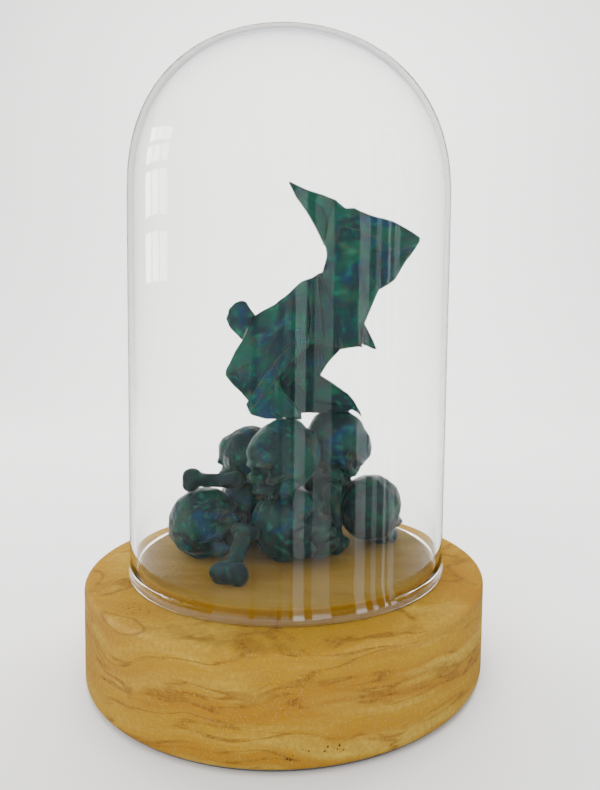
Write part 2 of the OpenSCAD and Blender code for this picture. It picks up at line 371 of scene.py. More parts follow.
# %% Stone profile
TABLE_R = 101 * MM
EDGE = 3.5 * MM
TABLE_EDGE = 1.5 * MM
FILLET = 0.6 * MM
STONE_STEP = 2.2 * MM
STONE_TURNS = 288
stone_profile = fine_line(
    [(0, FELT_TOP)]
    + arc((STONE_R - EDGE, FELT_TOP + EDGE), EDGE, -90, 0)
    + arc((STONE_R - EDGE, LEDGE_Z - EDGE), EDGE, 0, 90)
    + [(TABLE_R + FILLET, LEDGE_Z), (TABLE_R, LEDGE_Z + FILLET)]
    + arc((TABLE_R - TABLE_EDGE, TABLE_Z - TABLE_EDGE), TABLE_EDGE, 0, 90)
    + [(0, TABLE_Z)],
    STONE_STEP,
)
stone = spun("sandstone_plinth", stone_profile, STONE_TURNS)
smooth(stone, 60)
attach(stone, "plinth")
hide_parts("stone_base")
print("stone faces:", len(stone.data.polygons))

# %% [markdown]
# ## The glass dome
# The dome is blown glass: a straight wall, a shoulder that is fuller than a half ball, and a rim
# melted round in a flame. A thin cup with a Solidify modifier would give an even wall but no rim.
# So one line runs down the inside, round the rim and up the outside, and is spun like the stone.

# %% Glass profile
GLASS_T = 4 * MM
DOME_R = 107.5 * MM
SHOULDER_H = 105 * MM
POWER = 2.35
RIM_H = 6 * MM


def shoulder(radius, height, foot, steps=48):
    """The top of the dome, a quarter round whose raised power fills out its corner."""
    points = []
    for i in range(steps + 1):
        angle = math.pi / 2 * i / steps
        side = max(0.0, math.cos(angle)) ** (2 / POWER)
        rise = math.sin(angle) ** (2 / POWER)
        points.append((radius * side, foot + height * rise))
    points[-1] = (0, foot + height)
    return points


shoulder_z = DOME_TOP - SHOULDER_H
inner = DOME_R - GLASS_T
rim = [
    (inner, LEDGE_Z + RIM_H),
    (inner - 0.2 * MM, LEDGE_Z + 3.5 * MM),
    (inner + 0.3 * MM, LEDGE_Z + 0.9 * MM),
    (inner + 1.6 * MM, LEDGE_Z + 0.05 * MM),
    (DOME_R - 1.2 * MM, LEDGE_Z + 0.05 * MM),
    (DOME_R + 0.4 * MM, LEDGE_Z + 1.2 * MM),
    (DOME_R + 0.75 * MM, LEDGE_Z + 3.0 * MM),
    (DOME_R + 0.4 * MM, LEDGE_Z + 4.8 * MM),
    (DOME_R, LEDGE_Z + RIM_H + 0.5 * MM),
]
outside = shoulder(DOME_R, SHOULDER_H, shoulder_z)
inside = shoulder(inner, SHOULDER_H - GLASS_T, shoulder_z)
glass_line = inside[::-1] + rim + outside
GLASS_STEP = 8 * MM
GLASS_TURNS = 192
dome = spun("glass_dome_blown", fine_line(glass_line, GLASS_STEP), GLASS_TURNS)
smooth(dome, 180)
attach(dome, "dome")
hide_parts("glass_dome")
print("glass faces:", len(dome.data.polygons))

# %% [markdown]
# Clear glass is a shader that lets light through, with no roughness. The wall bends light less
# than real glass does, because every bit of bend also reflects the room over the bronze. The
# thick rim keeps the full bend, and draws the bright ring on the ledge.

# %% Glass wall and rim
WALL_IOR, RIM_IOR = 1.2, 1.5
RIM_BAND = 0.6 * MM
glass = bpy.data.materials.new("blown glass")
glass.use_nodes = True
shader = glass.node_tree.nodes["Principled BSDF"]
shader.inputs["Base Color"].default_value = (0.985, 0.995, 0.99, 1)
shader.inputs["Roughness"].default_value = 0.0
shader.inputs["IOR"].default_value = WALL_IOR
shader.inputs["Transmission Weight"].default_value = 1.0
dome.data.materials.append(glass)
rim_glass = glass.copy()
rim_glass.name = "fire-polished rim"
rim_glass.node_tree.nodes["Principled BSDF"].inputs["IOR"].default_value = RIM_IOR
dome.data.materials.append(rim_glass)
for face in dome.data.polygons:
    if face.center.z < LEDGE_Z + RIM_H + RIM_BAND:
        face.material_index = 1
print("rim faces:", sum(face.material_index == 1 for face in dome.data.polygons))

# %% [markdown]
# ## The skulls
# Each skull was modelled in wax, by hand, and cast in bronze. Sculpting one by brush needs a
# window, and a bent sphere never gets jaws, so it is built as in wax: from soft balls (braincase,
# forehead, brow, cheekbones, jaws) that a voxel remesh melts into one skin.

# %% Balls of wax


def wax_ball(place, size, turn=(0, 0, 0)):
    """A ball stretched to half-widths, placed in millimetres in the piece's own frame."""
    deselect()
    bpy.ops.mesh.primitive_uv_sphere_add(segments=40, ring_count=24, radius=1)
    ball = bpy.context.object
    ball.scale = [value * MM for value in size]
    ball.rotation_euler = [math.radians(angle) for angle in turn]
    ball.location = [value * MM for value in place]
    return settle(ball, "wax")


def join(parts, name):
    """Joins several pieces into one object."""
    deselect()
    for part in parts:
        part.select_set(True)
    bpy.context.view_layer.objects.active = parts[0]
    bpy.ops.object.join()
    return settle(bpy.context.object, name)


CUTTER_VOXEL = 0.8 * MM


def press_in(piece, cutters):
    """Takes the cutters away from the piece."""
    cutter = join(cutters, "cutter")
    add_modifier(cutter, "REMESH", mode="VOXEL", voxel_size=CUTTER_VOXEL)
    add_modifier(piece, "BOOLEAN", operation="DIFFERENCE", object=cutter, solver="EXACT")
    bpy.data.objects.remove(cutter)


def both(place, size, turn=(0, 0, 0)):
    """The same ball on the left and on the right."""
    left = (place[0], -place[1], place[2])
    mirrored = (-turn[0], turn[1], -turn[2])
    return [wax_ball(place, size, turn), wax_ball(left, size, mirrored)]


print("wax ready")

# %% The wax of one skull
SKULL_VOXEL = 0.75 * MM
skull_wax = [
    wax_ball((-1.5, 0, 0.2), (22.8, 21.2, 22.8)),
    wax_ball((8, 0, 3), (17, 17, 16.5)),
    wax_ball((-15, 0, -7), (8.5, 12.5, 9.5)),
    wax_ball((19, 0, -2.2), (6.2, 14, 3.6)),
    wax_ball((16, 0, -12), (9.5, 9, 10)),
    wax_ball((23.5, 0, -9.5), (3.2, 2.4, 5.5), (0, -18, 0)),
    wax_ball((18, 0, -19.5), (8.2, 8.6, 4)),
    wax_ball((15, 0, -25), (10, 8.4, 4.6)),
]
skull_wax += both((16.5, 11.5, -11.5), (6, 4.6, 4))
skull_wax += both((8, 15, -10.5), (10, 2.6, 2.8), (0, 0, 6))
skull_wax += both((8.5, 11.5, -19.5), (10, 3, 5.5), (0, 25, 4))
skull = join(skull_wax, "skull_wax")
add_modifier(skull, "REMESH", mode="VOXEL", voxel_size=SKULL_VOXEL)
print("wax skull:", len(skull.data.polygons), "faces")

# %% [markdown]
# The eye sockets, the nose, the line of the mouth and the temples are pressed in with other balls,
# by a Boolean. Thin upright balls along the arch of the jaw leave the gaps between the teeth.

# %% Sockets, nose, mouth and teeth
sockets = both((24, 7.2, -8), (7, 5.6, 5.2), (0, 0, 12))
nose_hole = wax_ball((26.5, 0, -14.8), (5, 2.7, 3.6))
mouth = wax_ball((23.5, 0, -22.4), (9, 10, 0.9))
temples = both((13, 21.5, -3), (8, 5, 8))
press_in(skull, sockets + [nose_hole, mouth] + temples)
TEETH = 5
TOOTH_W = 2.6
ARCH_REACH, ARCH_CURVE = 25.2, 0.028
teeth_gaps = []
for i in range(-TEETH, TEETH + 1):
    side = i * TOOTH_W
    reach = ARCH_REACH - side * side * ARCH_CURVE
    teeth_gaps.append(wax_ball((reach, side, -22.3), (1.6, 0.45, 3.2)))
press_in(skull, teeth_gaps)
add_modifier(skull, "REMESH", mode="VOXEL", voxel_size=SKULL_VOXEL)
add_modifier(skull, "SMOOTH", factor=0.5, iterations=2)
print("one skull:", len(skull.data.polygons), "faces")

# %% [markdown]
# The pile: where the middle of each braincase is, how the skull is turned, and its size. The
# skulls that nothing hides face the way the real ones do. Neighbours meet on flat seats, as
# castings that were filed to fit before they were brazed together.

# %% Places in the pile
PILE = {
    "skull_low_left": ((-57, -16, 23), (8, -34, -28), 1.03),
    "skull_low_centre": ((1, -20, 23.7), (0, -38, -28), 1.07),
    "skull_low_right": ((59, 10, 28), (0, 0, 60), 1.05),
    "skull_back_left": ((-31, 16, 27), (0, 10, 130), 1.05),
    "skull_back_right": ((18, 48, 22.5), (0, -20, 80), 1.02),
    "skull_middle": ((26, 13, 38), (0, -60, 75), 0.9),
    "skull_top_front": ((-2, -22, 71.5), (6, 6, -142), 1.03),
    "skull_top_right": ((33.5, 3, 77), (0, 35, 10), 0.98),
    "skull_top_left": ((-30, 4, 67), (0, 10, 160), 0.88),
}
NEIGHBOURS = {
    "skull_low_left": ("skull_low_centre", "skull_back_left"),
    "skull_low_centre": ("skull_low_left", "skull_back_left", "skull_middle", "skull_top_front"),
    "skull_low_right": ("skull_middle", "skull_back_right"),
    "skull_back_left": ("skull_low_left", "skull_low_centre", "skull_top_left", "skull_back_right"),
    "skull_back_right": ("skull_low_right", "skull_middle", "skull_back_left"),
    "skull_middle": ("skull_low_centre", "skull_low_right", "skull_back_right", "skull_top_right"),
    "skull_top_front": ("skull_low_centre", "skull_top_left", "skull_top_right"),
    "skull_top_right": ("skull_middle", "skull_top_front"),
    "skull_top_left": ("skull_back_left", "skull_top_front"),
}
SEAM = 0.3 * MM


def in_pile(place):
    """A place above the table, in millimetres, as a place in the frame."""
    return Vector(place) * MM + Vector((0, 0, TABLE_Z))


def slice_off(piece, place, normal):
    """Cuts the piece flat at a plane and closes it, removing what the normal points to."""
    edit_all(piece)
    bpy.ops.mesh.bisect(plane_co=place, plane_no=normal, use_fill=True, clear_outer=True)
    bpy.ops.object.mode_set(mode="OBJECT")


def dent(piece, size, depth, seed):
    """Moves the skin in and out by soft noise, size and depth in millimetres."""
    shift = Vector((seed, seed * 0.7, -seed))
    normals = [vertex.normal.copy() for vertex in piece.data.vertices]
    for vertex, normal in zip(piece.data.vertices, normals):
        where = vertex.co / (size * MM) + shift
        vertex.co += normal * (noise.noise(where) * depth * MM)


print("places in the pile:", len(PILE))

# %% [markdown]
# Each place gets its own copy of the wax skull. Two sizes of noise dent it, as fingers dent wax,
# and it is sliced flat at the table and at every neighbour, halfway between them by their sizes.

# %% Set the skulls
for order, (name, (place, turn, size)) in enumerate(PILE.items()):
    piece = skull.copy()
    piece.data = skull.data.copy()
    bpy.context.scene.collection.objects.link(piece)
    piece.rotation_euler = [math.radians(angle) for angle in turn]
    piece.scale = (size, size, size)
    piece.location = in_pile(place)
    settle(piece, name + "_cast")
    dent(piece, 9, 1.5, order)
    dent(piece, 3, 0.45, order + 0.5)
    add_modifier(piece, "SMOOTH", factor=0.5, iterations=3)
    slice_off(piece, (0, 0, TABLE_Z), (0, 0, -1))
    middle = in_pile(place)
    for other in NEIGHBOURS[name]:
        other_place, _, other_size = PILE[other]
        way = in_pile(other_place) - middle
        share = size / (size + other_size)
        slice_off(piece, middle + way * share - way.normalized() * SEAM / 2, way)
    tidy_normals(piece)
    smooth(piece, 60)
    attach(piece, "plinth")
    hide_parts(name)
bpy.data.objects.remove(skull)
print("skulls set:", len(PILE))

# %% [markdown]
# ## The bones
# Three thigh bones, made like the skulls: a shaft that narrows in the middle, and a pair of
# knuckles at each end. A cylinder is cut across so that its middle can be drawn in, and the remesh
# melts it and the knuckles together.

# %% One bone
KNUCKLE_RISE = 1.5
SMALL_END, SMALL_SPREAD = 0.85, 0.7
WAIST, FLARE = 0.88, 0.35
BONE_VOXEL = 0.7 * MM


def bone(name, start, end, knuckle_turn, shaft=5.2, knuckle=(6.6, 6.2, 5.2), spread=4.4):
    """A bone from one place to another above the table; the first end has the bigger knuckles."""
    start_at, end_at = Vector(start), Vector(end)
    way = end_at - start_at
    length = way.length
    small = [value * SMALL_END for value in knuckle]
    wax = [
        wax_ball((0, -spread, KNUCKLE_RISE), knuckle),
        wax_ball((0, spread, KNUCKLE_RISE), knuckle),
        wax_ball((0, -spread * SMALL_SPREAD, length - 1), small),
        wax_ball((0, spread * SMALL_SPREAD, length - 1), small),
    ]
    deselect()
    bpy.ops.mesh.primitive_cylinder_add(vertices=24, radius=shaft * MM, depth=length * MM)
    stem = bpy.context.object
    stem.location = (0, 0, length / 2 * MM)
    settle(stem, "stem")
    edit_all(stem)
    bpy.ops.mesh.subdivide(number_cuts=8)
    bpy.ops.object.mode_set(mode="OBJECT")
    for vertex in stem.data.vertices:
        along = vertex.co.z / (length * MM) * 2 - 1
        swell = WAIST + FLARE * abs(along) ** 3
        vertex.co.x *= swell
        vertex.co.y *= swell
    piece = join(wax + [stem], name + "_cast")
    add_modifier(piece, "REMESH", mode="VOXEL", voxel_size=BONE_VOXEL)
    add_modifier(piece, "SMOOTH", factor=0.5, iterations=5)
    turn = way.to_track_quat("Z", "Y").to_matrix().to_4x4()
    spin = Matrix.Rotation(math.radians(knuckle_turn), 4, "Z")
    piece.data.transform(Matrix.Translation(in_pile(start_at)) @ turn @ spin)
    dent(piece, 7, 1.0, length)
    slice_off(piece, (0, 0, TABLE_Z), (0, 0, -1))
    tidy_normals(piece)
    smooth(piece, 60)
    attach(piece, "plinth")
    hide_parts(name)
    return piece


# %% Three bones
LEFT_CUT_X = -69.5
left_bone = bone(
    "bone_left", (-66, -21.5, 53.2), (-34, -22, 53.2), 0, knuckle=(5.6, 6.4, 6.6), spread=1.6,
)
slice_off(left_bone, in_pile((LEFT_CUT_X, 0, 0)), (-1, 0, 0))
bone("bone_front", (-31, -69, 6), (-25, -38, 24), 90, 5.8, (8, 7.4, 5.8), 4.8)
bone("bone_right", (35, -12, 6), (30, -15.5, 47.5), 30)
print("bones set")

# %% [markdown]
# ## The folded rabbit
# The rabbit looks folded from a square of paper and then cast. Paper only bends along straight
# creases, so every form here is a few flat facets between named points. A point is (x, height,
# half width) in millimetres from the fold plane and the soles: the near side is drawn and
# mirrored to the far side, with low ridges along the main creases. Extruding these by hand would
# lose the straight folds. A fine voxel remesh gives the sharp model the soft creases of a casting,
# and slow noise lets the facets sag like paper.

# %% Creases
FOLD_Y = -8.0  # the fold plane
FOOT_Z = 94.975  # the near sole, above the table
RIDGE_W, RIDGE_FLAT, RIDGE_OUT, RIDGE_IN = 0.75, 0.3, 0.7, 1.6
RIDGE_FORM = ((-1, -RIDGE_IN), (-RIDGE_FLAT, RIDGE_OUT), (RIDGE_FLAT, RIDGE_OUT), (1, -RIDGE_IN))


def ridge(place, one, two, side, mesh):
    """A low ridge of metal where the paper was creased, between two points of one side."""
    length = math.dist(one[:2], two[:2])
    across = Vector((one[1] - two[1], two[0] - one[0])) / length * RIDGE_W
    ends = []
    for x, z, half in (one, two):
        ends.append([
            place(x + across.x * way, side * (half + rise), z + across.y * way)
            for way, rise in RIDGE_FORM
        ])
    start, end = ends
    mesh.faces.new(start)
    mesh.faces.new(end[::-1])
    for i in range(4):
        j = (i + 1) % 4
        mesh.faces.new([start[j], start[i], end[i], end[j]])


def both_sides(place, points, facets, lifts, mesh):
    """Facets on both sides of the fold plane, closed along their rim.

    lifts moves the middle of the rim at a point, to hollow the form there.
    """
    near = {key: place(x, -half, z) for key, (x, z, half) in points.items()}
    far = {key: place(x, half, z) for key, (x, z, half) in points.items()}
    middle = {}
    for key, lift in lifts.items():
        x, z, half = points[key]
        middle[key] = place(x + lift[0], 0, z + lift[1])
    used = {}
    for facet in facets:
        mesh.faces.new([near[key] for key in facet])
        mesh.faces.new([far[key] for key in reversed(facet)])
        for first, second in zip(facet, facet[1:] + facet[:1]):
            used.setdefault(frozenset((first, second)), []).append((first, second))
    for sides in used.values():
        if len(sides) > 1:
            continue
        first, second = sides[0]
        steps = [near]
        if first in middle and second in middle:
            steps.append(middle)
        steps.append(far)
        for one, two in zip(steps, steps[1:]):
            mesh.faces.new([one[second], one[first], two[first], two[second]])


def flat_sheet(place, points, near_y, far_y, mesh):
    """One flat outline with a thickness, between two distances from the fold plane."""
    front = [place(x, near_y, z) for x, z in points]
    back = [place(x, far_y, z) for x, z in points]
    mesh.faces.new(front)
    mesh.faces.new(back[::-1])
    for i in range(len(points)):
        j = (i + 1) % len(points)
        mesh.faces.new([front[j], front[i], back[i], back[j]])


print("folds ready")

# %% [markdown]
# One casting can hold mirrored forms, flat sheets and creases. They all overlap a little, and the
# remesh makes one skin of them, which is simpler than joining them edge to edge.

# %% One folded casting


def folded(name, forms, sheets=(), creases=(), voxel=0.6, sag=1.1):
    """A casting of the rabbit, with its voxel size and the depth of its sag in millimetres.

    Each form is (points, facets, lifts), and each sheet is (outline, near, far). Each crease is a
    list of points of the first form.
    """
    mesh = bmesh.new()

    def place(x, y, height):
        return mesh.verts.new(in_pile((x, FOLD_Y + y, FOOT_Z + height)))

    for points, facets, lifts in forms:
        both_sides(place, points, facets, lifts, mesh)
    for outline, near_y, far_y in sheets:
        flat_sheet(place, outline, near_y, far_y, mesh)
    for keys in creases:
        corners = [forms[0][0][key] for key in keys]
        for one, two in zip(corners, corners[1:]):
            for side in (-1, 1):
                ridge(place, one, two, side, mesh)
    bmesh.ops.recalc_face_normals(mesh, faces=mesh.faces)
    piece = settle(as_piece(mesh), name + "_cast")
    add_modifier(piece, "REMESH", mode="VOXEL", voxel_size=voxel * MM)
    dent(piece, 14, sag, len(name))
    dent(piece, 4, 0.3, 2.0)
    add_modifier(piece, "SMOOTH", factor=0.5, iterations=1)
    tidy_normals(piece)
    smooth(piece, 70)
    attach(piece, "plinth")
    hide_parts(name)
    return piece


print("folding ready")

# %% [markdown]
# The body is bent over the back like a saddle. Its rim is hollowed underneath, where the legs come
# out, and a hem is folded along its lower edge.

# %% Body
body_points = {
    "spine front": (13.6, 94.6, 3), "back top": (8.9, 92.7, 1.2), "back middle": (0.8, 86.3, 1.2),
    "back low": (-9.6, 78, 1.2), "tail up": (-23.8, 69.2, 1.6), "tail low": (-32.9, 52.1, 3),
    "rump top": (-40.5, 37.9, 4), "rump out": (-43.7, 32, 4.5), "rump low": (-43.3, 28.5, 5),
    "hock": (-34, 19.2, 8), "heel": (-24.5, 7.5, 11), "leg fold": (-9.1, 25, 14),
    "low fold": (9.4, 47.1, 13.5), "middle fold": (13.4, 63.4, 12.5),
    "haunch": (-15, 43, 12.5), "flank": (-2, 68, 8.5),
}
body_facets = [
    ["spine front", "back top", "back middle", "flank"],
    ["back middle", "back low", "flank"],
    ["back low", "tail up", "haunch", "flank"],
    ["tail up", "tail low", "haunch"],
    ["tail low", "rump top", "haunch"],
    ["rump top", "rump out", "rump low", "haunch"],
    ["rump low", "hock", "haunch"],
    ["hock", "heel", "leg fold", "haunch"],
    ["leg fold", "low fold", "haunch"],
    ["low fold", "middle fold", "flank", "haunch"],
    ["middle fold", "spine front", "flank"],
]
body_hollow = {
    "heel": (-8, 12), "leg fold": (-6, 16), "low fold": (-4, 14), "middle fold": (-2, 2),
    "spine front": (0, 0), "hock": (0, 3),
}
hem = [(13.4, 49.5), (13.4, 57), (6, 54.5), (-14, 31.5), (-26, 12.5), (-23.5, 7), (-9.1, 25)]
folded(
    "rabbit_body", [(body_points, body_facets, body_hollow)],
    [(hem, -15.6, -11.5), (hem, 11.5, 15.6)],
    [["tail low", "haunch", "flank", "middle fold"], ["rump low", "haunch"],
     ["back low", "flank", "back top"]],
)
print("body folded")

# %% [markdown]
# The tail is a puffed corner: a rim of points round one raised middle point.

# %% Tail
tail_points = {
    "root low": (-32.5, 52.5, 3.5), "a": (-41.1, 61.3, 3), "b": (-43.3, 66.5, 2.6),
    "c": (-41.6, 73.2, 2.4), "d": (-37.5, 77.6, 2.4), "e": (-33, 79.2, 2.4),
    "top": (-30, 78.6, 2.6), "f": (-26.6, 73.5, 3), "root up": (-24, 69.8, 3.5),
    "middle": (-34, 66, 5.5),
}
tail_rim = [key for key in tail_points if key != "middle"]
tail_facets = [[a, b, "middle"] for a, b in zip(tail_rim, tail_rim[1:] + tail_rim[:1])]
folded("rabbit_tail", [(tail_points, tail_facets, {})], voxel=0.6, sag=0.6)
print("tail folded")

# %% [markdown]
# The chest hangs from the neck like a jacket: it is hollow below, with a pleat at the shoulder and a
# lapel at the front. The two forelegs are small points of paper under its front corner.

# %% Chest
chest_points = {
    "fold top": (11, 93, 4), "neck back": (19.3, 97.2, 8.5), "collar": (26, 99.6, 9.5),
    "collar front": (48.3, 100.6, 8), "chin": (61, 89.6, 3), "throat high": (59.1, 84.8, 2.6),
    "throat": (54.1, 74.3, 2.6), "throat low": (50.7, 64.9, 3), "paw in": (49.6, 51.5, 6),
    "corner": (49.2, 49.2, 8), "hem front": (35.2, 47.8, 12), "hem back": (26.9, 48.9, 13.5),
    "hem fold": (10, 50, 12), "middle fold": (10, 63.4, 10), "breast": (30, 74, 13),
    "fore fold": (43, 66, 10.5),
}
chest_facets = [
    ["fold top", "neck back", "collar", "breast"],
    ["collar", "collar front", "fore fold", "breast"],
    ["collar front", "chin", "throat high", "throat", "fore fold"],
    ["throat", "throat low", "fore fold"],
    ["throat low", "paw in", "corner", "fore fold"],
    ["corner", "hem front", "fore fold"],
    ["hem front", "hem back", "breast", "fore fold"],
    ["hem back", "hem fold", "middle fold", "breast"],
    ["middle fold", "fold top", "breast"],
]
chest_hollow = {
    "corner": (0, 2), "hem front": (0, 12), "hem back": (0, 14), "hem fold": (0, 6),
}
pleat = [(14.5, 93), (18.5, 96), (20.5, 80), (24, 50.5), (14.5, 54)]
lapel = [(43, 98), (49, 99.5), (46.5, 70), (48, 51.5), (41, 49), (42, 70)]
folded(
    "rabbit_chest", [(chest_points, chest_facets, chest_hollow)],
    [(pleat, -13.9, -8.5), (pleat, 8.5, 13.9), (lapel, -10.9, -6), (lapel, 6, 10.9)],
    [["collar", "breast", "hem front"], ["collar front", "fore fold", "corner"],
     ["neck back", "breast"], ["throat", "fore fold"]],
)
print("chest folded")

# %% Forelegs
far_paw = [(50.9, 66), (55, 58.5), (60, 47.8), (58, 47.6), (50.1, 51.4), (50, 58)]
near_paw = [(49.9, 62.5), (52.5, 57), (52, 50.5), (50.2, 49.4)]
folded("rabbit_foreleg_far", [], [(far_paw, 2.5, 8.5)], voxel=0.5, sag=0.3)
folded("rabbit_foreleg_near", [], [(near_paw, -7.5, -2.5)], voxel=0.5, sag=0.3)
print("forelegs folded")

# %% [markdown]
# The head is a long wedge that narrows to the nose. The mouth line is a fold across it, and flaps of
# paper lie on the cheek and along the jaw.

# %% Head
head_points = {
    "ear root": (29.1, 147, 2.5), "notch": (37.2, 141.4, 3), "brow": (42.4, 142, 3),
    "crown": (54.6, 136.8, 2.2), "nose bridge": (67.4, 134.2, 1.8), "nose top": (78, 129.2, 1.4),
    "nose": (88.2, 123.4, 0.9), "lip": (87.5, 120.5, 0.9), "jaw front": (83, 113.8, 1.4),
    "jaw": (77.5, 104.6, 2), "jaw back": (70.6, 95.3, 2.8), "chin": (60.8, 88.5, 3),
    "collar front": (48.3, 98, 7.5), "collar": (27, 97, 8.8), "nape low": (21, 95.5, 7),
    "nape": (24.4, 110.2, 8.5), "ear pit": (24.0, 117, 8.5), "ear fold": (25.3, 133.1, 6),
    "mouth back": (31.8, 117.7, 11.5), "mouth dip": (43.6, 111, 12), "mouth": (61, 112.4, 8),
    "mouth front": (75.9, 114.9, 3.8), "cheek": (55, 104, 6.5), "temple": (41, 130, 8),
}
head_facets = [
    ["ear root", "notch", "temple", "ear fold"],
    ["notch", "brow", "temple"],
    ["brow", "crown", "temple"],
    ["crown", "nose bridge", "mouth", "temple"],
    ["nose bridge", "nose top", "mouth front", "mouth"],
    ["nose top", "nose", "lip", "mouth front"],
    ["lip", "jaw front", "mouth front"],
    ["jaw front", "jaw", "mouth front"],
    ["jaw", "jaw back", "mouth", "mouth front"],
    ["jaw back", "chin", "cheek", "mouth"],
    ["chin", "collar front", "cheek"],
    ["collar front", "mouth dip", "mouth", "cheek"],
    ["collar front", "collar", "mouth back", "mouth dip"],
    ["collar", "nape low", "nape", "mouth back"],
    ["nape", "ear pit", "mouth back"],
    ["ear pit", "ear fold", "mouth back"],
    ["ear fold", "temple", "mouth back"],
    ["temple", "mouth", "mouth dip", "mouth back"],
]
cheek_flap = [(31, 118.5), (43.6, 111.8), (60, 113.2), (58, 121), (44, 126), (33, 128)]
jaw_flap = [(62, 92), (70, 96.5), (76, 105), (81, 113), (74, 112), (66, 104)]
folded(
    "rabbit_head", [(head_points, head_facets, {})],
    [(cheek_flap, -11.6, -5), (cheek_flap, 5, 11.6), (jaw_flap, -4.2, 4.2)],
    [["mouth back", "mouth dip", "mouth", "mouth front", "lip"], ["ear fold", "temple", "brow"],
     ["nape", "mouth dip"], ["temple", "mouth"], ["collar", "cheek", "jaw back"]],
)
print("head folded")

# %% [markdown]
# The ears are two flat sheets that lie back to back. Only the near one shows its inner fold.

# %% Ears
EAR_IN, EAR_OUT = 0.2, 3.2


def ear(name, side):
    """One long ear, on one side of the fold plane."""
    outline = [
        (-2.2, 159.1), (11.1, 152.9), (22, 149.6), (31, 146.4), (28.5, 133), (26.5, 117.5), (22.8, 117),
        (20.2, 122.2), (14.2, 133.5), (10.7, 139.1), (3.7, 148.9),
    ]
    sheets = [(outline, side * EAR_IN, side * EAR_OUT)]
    if side < 0:
        inner_fold = [(5, 149), (16.5, 136), (20.8, 125.5), (23, 121), (24.2, 133), (21, 141)]
        sheets.append((inner_fold, -2.6, -4.2))
    return folded(name, [], sheets, voxel=0.55, sag=0.5)


ear("rabbit_ear_near", -1)
ear("rabbit_ear_far", 1)
print("ears folded")

# %% [markdown]
# The rabbit stands on its two hind legs, each on a skull of its own, so the far sole is higher
# than the near one. The far leg is a thigh and a shank, which overlap at the knee.

# %% Hind legs
near_leg = [
    (-7, 29), (-4, 18.5), (9.3, 5), (9.4, 0), (-2, -0.8), (-13.5, 0), (-25, 3.4), (-28, 10),
    (-18, 26),
]
near_fold = [(-8.5, 22), (8.8, 4.5), (9, 1.2), (-2, 1), (-12, 6)]
folded(
    "rabbit_hind_leg_near", [], [(near_leg, -14.6, -8), (near_fold, -16, -11)], voxel=0.6, sag=0.8,
)
FAR_SOLE = 2.6
thigh = [
    (-8, 48), (20, 55), (36, 52), (34.5, 46.6), (26, 37), (20.5, 29), (8, 28), (-1.3, 29), (-12, 26),
]
shank = [
    (-16, 27), (8, 30), (20.8, 29.2), (26.5, 25.2), (34, 20.5), (40, 16.4), (46, 9.6),
    (49.8, 3.5), (51.2, -0.8), (47.5, 2.6), (43.6, 5.2), (38.5, FAR_SOLE), (20, FAR_SOLE),
    (3, FAR_SOLE), (-5, 11),
]
shin_fold = [(2, 26), (20, 28), (38, 16), (45, 8.5), (30, 9.5), (14, 12)]
folded(
    "rabbit_hind_leg_far", [], [(thigh, 7, 14.4), (shank, 7.2, 15), (shin_fold, 6, 10)],
    voxel=0.65, sag=0.9,
)
print("legs folded")

# %% [markdown]
# ## Finishes
# A finish is a stack of thin coats, each laid over the last through a mask. These helpers make one
# coordinate, one mask or one mix each, so that a material reads like a recipe. Patterns on Object
# coordinates stay on the piece when it moves.

# %% Helpers for materials
MIX_BELOW, MIX_ABOVE, MIX_RESULT = 6, 7, 2  # the colour sockets of a Mix node


def new_material(name):
    """A new material, with its node tree and its main shader."""
    material = bpy.data.materials.new(name)
    material.use_nodes = True
    tree = material.node_tree
    return material, tree, tree.nodes["Principled BSDF"]


def coordinates(tree, stretch=(1, 1, 1), turn=(0, 0, 0)):
    """Object coordinates, stretched and turned (degrees)."""
    source = tree.nodes.new("ShaderNodeTexCoord")
    mapping = tree.nodes.new("ShaderNodeMapping")
    mapping.inputs["Scale"].default_value = stretch
    mapping.inputs["Rotation"].default_value = [math.radians(angle) for angle in turn]
    tree.links.new(source.outputs["Object"], mapping.inputs["Vector"])
    return mapping.outputs["Vector"]


def noise_mask(tree, where, scale, low, high, detail=4.0, distortion=0.0):
    """Soft noise, cut so that it is 0 below low and 1 above high."""
    texture = tree.nodes.new("ShaderNodeTexNoise")
    texture.inputs["Scale"].default_value = scale
    texture.inputs["Detail"].default_value = detail
    texture.inputs["Distortion"].default_value = distortion
    tree.links.new(where, texture.inputs["Vector"])
    return between(tree, texture.outputs["Fac"], low, high)


def between(tree, value, low, high, start=0.0, end=1.0):
    """Maps a value from low..high to start..end, held at both ends."""
    ramp = tree.nodes.new("ShaderNodeMapRange")
    ramp.inputs["From Min"].default_value = low
    ramp.inputs["From Max"].default_value = high
    ramp.inputs["To Min"].default_value = start
    ramp.inputs["To Max"].default_value = end
    tree.links.new(value, ramp.inputs["Value"])
    return ramp.outputs["Result"]


def colour_mix(tree, mask, below, above):
    """Mixes two colours, each a socket or a plain colour, by a mask."""
    mix = tree.nodes.new("ShaderNodeMix")
    mix.data_type = "RGBA"
    tree.links.new(mask, mix.inputs["Factor"])
    for index, colour in ((MIX_BELOW, below), (MIX_ABOVE, above)):
        if isinstance(colour, tuple):
            mix.inputs[index].default_value = (*colour, 1)
        else:
            tree.links.new(colour, mix.inputs[index])
    return mix.outputs[MIX_RESULT]


def times(tree, first, second):
    """The product of two values; the second may be a number."""
    product = tree.nodes.new("ShaderNodeMath")
    product.operation = "MULTIPLY"
    tree.links.new(first, product.inputs[0])
    if isinstance(second, float):
        product.inputs[1].default_value = second
    else:
        tree.links.new(second, product.inputs[1])
    return product.outputs["Value"]


